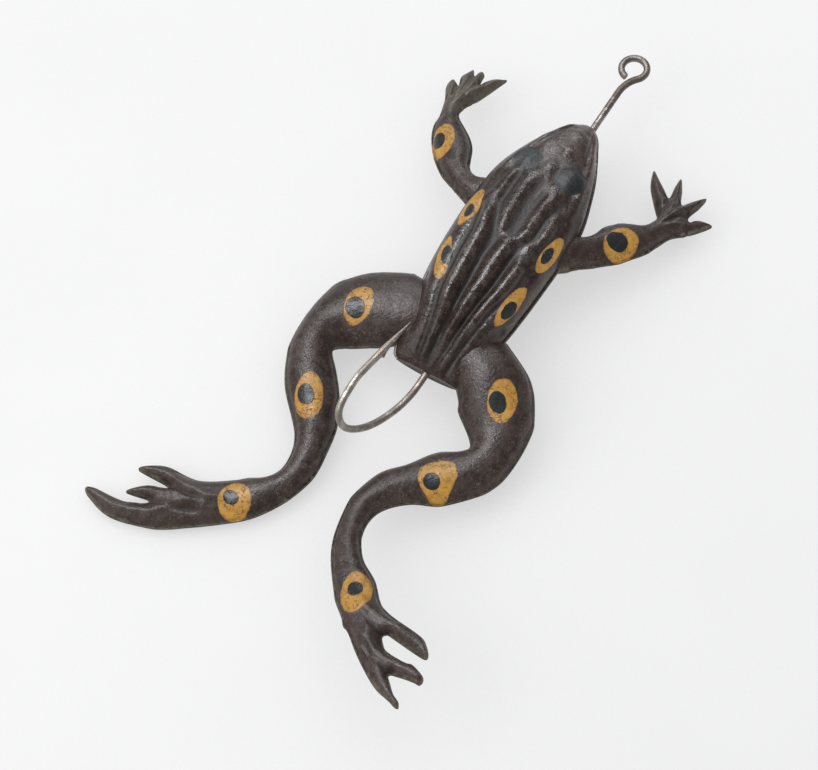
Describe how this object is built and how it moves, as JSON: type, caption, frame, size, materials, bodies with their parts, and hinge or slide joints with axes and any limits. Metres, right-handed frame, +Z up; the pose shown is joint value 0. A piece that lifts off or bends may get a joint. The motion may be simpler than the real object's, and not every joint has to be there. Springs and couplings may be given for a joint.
{
  "type": "frog fishing lure",
  "caption": "Soft moulded rubber frog fishing lure on a long-shank ringed barbed hook; it turns on the shank and its shoulders, hips, knees and ankles flex.",
  "frame": {"origin": "centre of the hook's line-tie ring", "axes": "+Y forward along the hook's straight shank towards the line-tie ring, the frog lying behind it; +X to the frog's right; +Z up, out of the frog's back"},
  "size_m": [0.0644, 0.1228, 0.0191],
  "materials": {
    "painted_rubber": "semi-gloss aged dark brown rubber with ochre and black painted spots",
    "underside_rubber": "satin pale grey-green rubber, soiled",
    "hook_steel": "aged, tarnished brown with bright worn patches"
  },
  "bodies": {
    "torso": {"back_half": "painted_rubber", "belly_half": "underside_rubber"},
    "hook": {"hook": "hook_steel"},
    "left_arm": {"left_arm_upper": "painted_rubber", "left_arm_lower": "underside_rubber"},
    "left_thigh": {"left_thigh_upper": "painted_rubber", "left_thigh_lower": "underside_rubber"},
    "left_shank": {"left_shank_upper": "painted_rubber", "left_shank_lower": "underside_rubber"},
    "left_foot": {"left_foot_upper": "painted_rubber", "left_foot_lower": "underside_rubber"},
    "right_arm": {"right_arm_upper": "painted_rubber", "right_arm_lower": "underside_rubber"},
    "right_thigh": {"right_thigh_upper": "painted_rubber", "right_thigh_lower": "underside_rubber"},
    "right_shank": {"right_shank_upper": "painted_rubber", "right_shank_lower": "underside_rubber"},
    "right_foot": {"right_foot_upper": "painted_rubber", "right_foot_lower": "underside_rubber"}
  },
  "joints": [
    {"name": "hook_turn", "type": "hinge", "parent": "torso", "child": "hook", "pos_m": [0, -0.04, 0], "axis": [0, 1, 0], "range_deg": [-25, 75]},
    {"name": "left_shoulder", "type": "hinge", "parent": "torso", "child": "left_arm", "pos_m": [-0.00955, -0.0343, 0.0026], "axis": [0, 1, 0], "range_deg": [-20, 20], "stiffness_Nm_per_rad": 0.004},
    {"name": "right_shoulder", "type": "hinge", "parent": "torso", "child": "right_arm", "pos_m": [0.00885, -0.0369, 0.0026], "axis": [0, -1, 0], "range_deg": [-20, 20], "stiffness_Nm_per_rad": 0.004},
    {"name": "left_hip", "type": "hinge", "parent": "torso", "child": "left_thigh", "pos_m": [-0.0079, -0.0572, 0.0004], "axis": [-0.2134, 0.977, 0], "range_deg": [-15, 15], "stiffness_Nm_per_rad": 0.012},
    {"name": "right_hip", "type": "hinge", "parent": "torso", "child": "right_thigh", "pos_m": [0.0068, -0.0598, 0.0002], "axis": [-0.2488, -0.9686, 0], "range_deg": [-15, 15], "stiffness_Nm_per_rad": 0.012},
    {"name": "left_knee", "type": "hinge", "parent": "left_thigh", "child": "left_shank", "pos_m": [-0.0186, -0.0682, -0.0022], "axis": [0, 0, -1], "range_deg": [-8, 25], "stiffness_Nm_per_rad": 0.008},
    {"name": "right_knee", "type": "hinge", "parent": "right_thigh", "child": "right_shank", "pos_m": [0.01585, -0.0723, -0.0017], "axis": [0, 0, 1], "range_deg": [-8, 25], "stiffness_Nm_per_rad": 0.008},
    {"name": "left_ankle", "type": "hinge", "parent": "left_shank", "child": "left_foot", "pos_m": [-0.00965, -0.08955, -0.0044], "axis": [-0.9952, -0.0978, 0], "range_deg": [-25, 25], "stiffness_Nm_per_rad": 0.004},
    {"name": "right_ankle", "type": "hinge", "parent": "right_shank", "child": "right_foot", "pos_m": [0.00405, -0.09415, 0], "axis": [-1, 0, 0], "range_deg": [-25, 15], "stiffness_Nm_per_rad": 0.004}
  ]
}
